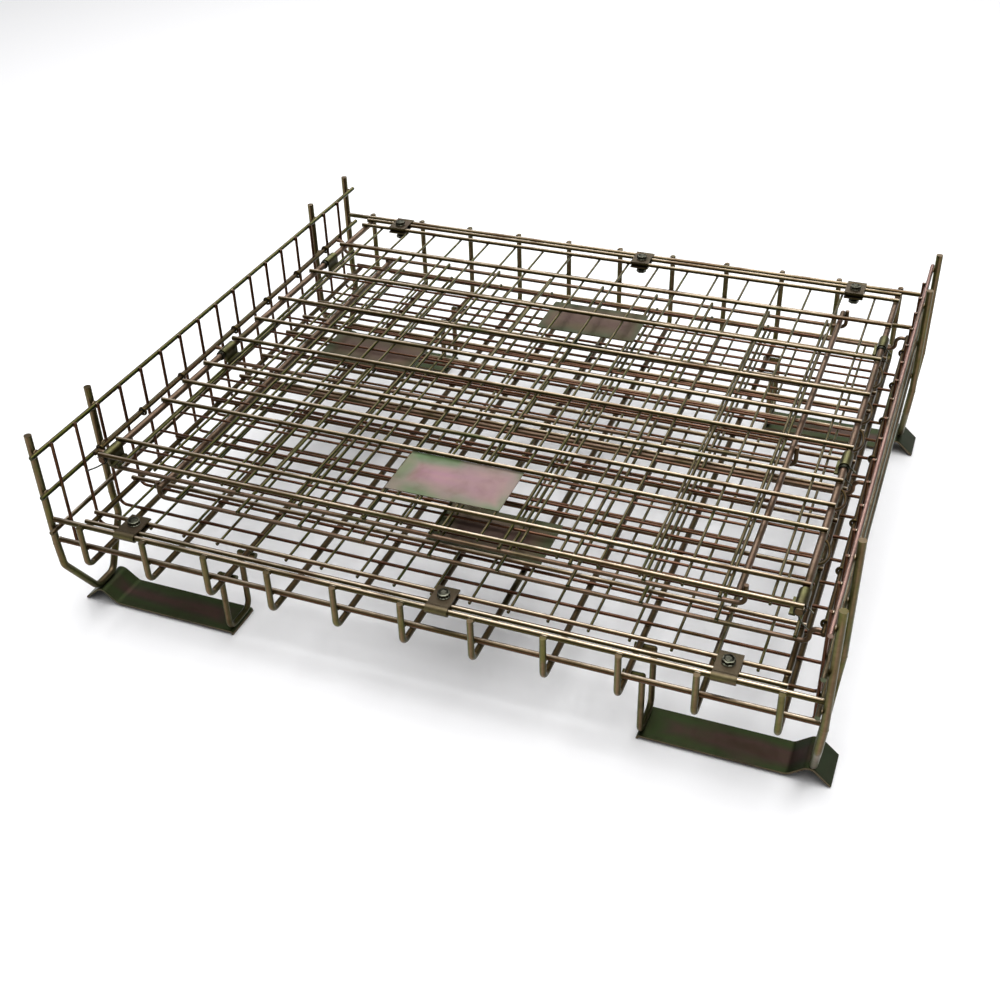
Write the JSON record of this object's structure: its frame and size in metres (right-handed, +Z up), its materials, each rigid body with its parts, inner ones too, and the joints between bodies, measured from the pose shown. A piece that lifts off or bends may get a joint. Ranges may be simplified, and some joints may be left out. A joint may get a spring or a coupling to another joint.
{
  "type": "wire mesh container",
  "caption": "Folding wire mesh container, folded flat: a wire basket on four feet with corner posts and hinged mesh walls laid over its floor.",
  "frame": {"origin": "bottom centre of the bounding box, on the surface the feet stand on", "axes": "+Z up, +X from the left low side wall to the right one, +Y from the front edge to the back edge"},
  "size_m": [1.153, 1.006, 0.335],
  "materials": {
    "frame_rod": "yellow-chromate zinc plate, semi-bright",
    "mesh_wire": "yellow-chromate zinc plate, semi-bright",
    "post_rod": "yellow-chromate zinc plate, semi-bright",
    "foot_steel": "yellow-chromate zinc plate, satin",
    "clip_sheet": "yellow-chromate zinc plate, satin",
    "fastener": "bright zinc plate",
    "sign_plate": "yellow-chromate zinc plate, iridescent"
  },
  "bodies": {
    "base": {"back_left_foot_loop": "foot_steel", "back_left_foot_plate": "foot_steel", "back_left_post_loop": "post_rod", "back_lower_rail": "frame_rod", "back_right_foot_loop": "foot_steel", "back_right_foot_plate": "foot_steel", "back_right_post_loop": "post_rod", "back_top_rail": "frame_rod", "back_uprights": "frame_rod", "floor_bars": "frame_rod", "floor_wires": "mesh_wire", "front_left_foot_loop": "foot_steel", "front_left_foot_plate": "foot_steel", "front_left_post_loop": "post_rod", "front_lower_rail": "frame_rod", "front_right_foot_loop": "foot_steel", "front_right_foot_plate": "foot_steel", "front_right_post_loop": "post_rod", "front_top_rail": "frame_rod", "front_uprights": "frame_rod", "left_hinge_eyes": "frame_rod", "left_lower_rail": "frame_rod", "left_middle_rail": "frame_rod", "left_top_rail": "frame_rod", "left_wall_wires": "mesh_wire", "right_hinge_eyes": "frame_rod", "right_lower_rail": "frame_rod", "right_middle_rail": "frame_rod", "right_top_rail": "frame_rod", "right_wall_wires": "mesh_wire"},
    "back_wall": {"back_wall_clip_bolts": "fastener", "back_wall_clip_nuts": "fastener", "back_wall_cross_rods": "frame_rod", "back_wall_edge_rods": "frame_rod", "back_wall_hinge_clips": "clip_sheet", "back_wall_hinge_rod": "frame_rod", "back_wall_latch_hooks": "clip_sheet", "back_wall_mesh_wires": "mesh_wire", "back_wall_sign_plate": "sign_plate"},
    "front_wall": {"front_wall_clip_bolts": "fastener", "front_wall_clip_nuts": "fastener", "front_wall_cross_rods": "frame_rod", "front_wall_edge_rods": "frame_rod", "front_wall_hinge_clips": "clip_sheet", "front_wall_hinge_rod": "frame_rod", "front_wall_mesh_wires": "mesh_wire", "front_wall_sign_plate": "sign_plate"},
    "left_end_wall": {"left_end_cross_rods": "frame_rod", "left_end_hinge_rod": "frame_rod", "left_end_mesh_wires": "mesh_wire", "left_end_rim": "frame_rod", "left_end_side_rods": "frame_rod", "left_end_sign_plate": "sign_plate"},
    "right_end_wall": {"right_end_cross_rods": "frame_rod", "right_end_hinge_rod": "frame_rod", "right_end_mesh_wires": "mesh_wire", "right_end_rim": "frame_rod", "right_end_side_rods": "frame_rod", "right_end_sign_plate": "sign_plate"}
  },
  "joints": [
    {"name": "back_wall_hinge", "type": "hinge", "parent": "base", "child": "back_wall", "pos_m": [0, 0.4855, 0.259], "axis": [-1, 0, 0], "range_deg": [0, 89.35]},
    {"name": "front_wall_hinge", "type": "hinge", "parent": "base", "child": "front_wall", "pos_m": [0, -0.4855, 0.19], "axis": [1, 0, 0], "range_deg": [0, 0.04]},
    {"name": "left_end_hinge", "type": "hinge", "parent": "base", "child": "left_end_wall", "pos_m": [-0.534, 0, 0.25085], "axis": [0, -1, 0], "range_deg": [0, 0.04]},
    {"name": "right_end_hinge", "type": "hinge", "parent": "base", "child": "right_end_wall", "pos_m": [0.534, 0, 0.2198], "axis": [0, 1, 0], "range_deg": [0, 0.04]}
  ]
}
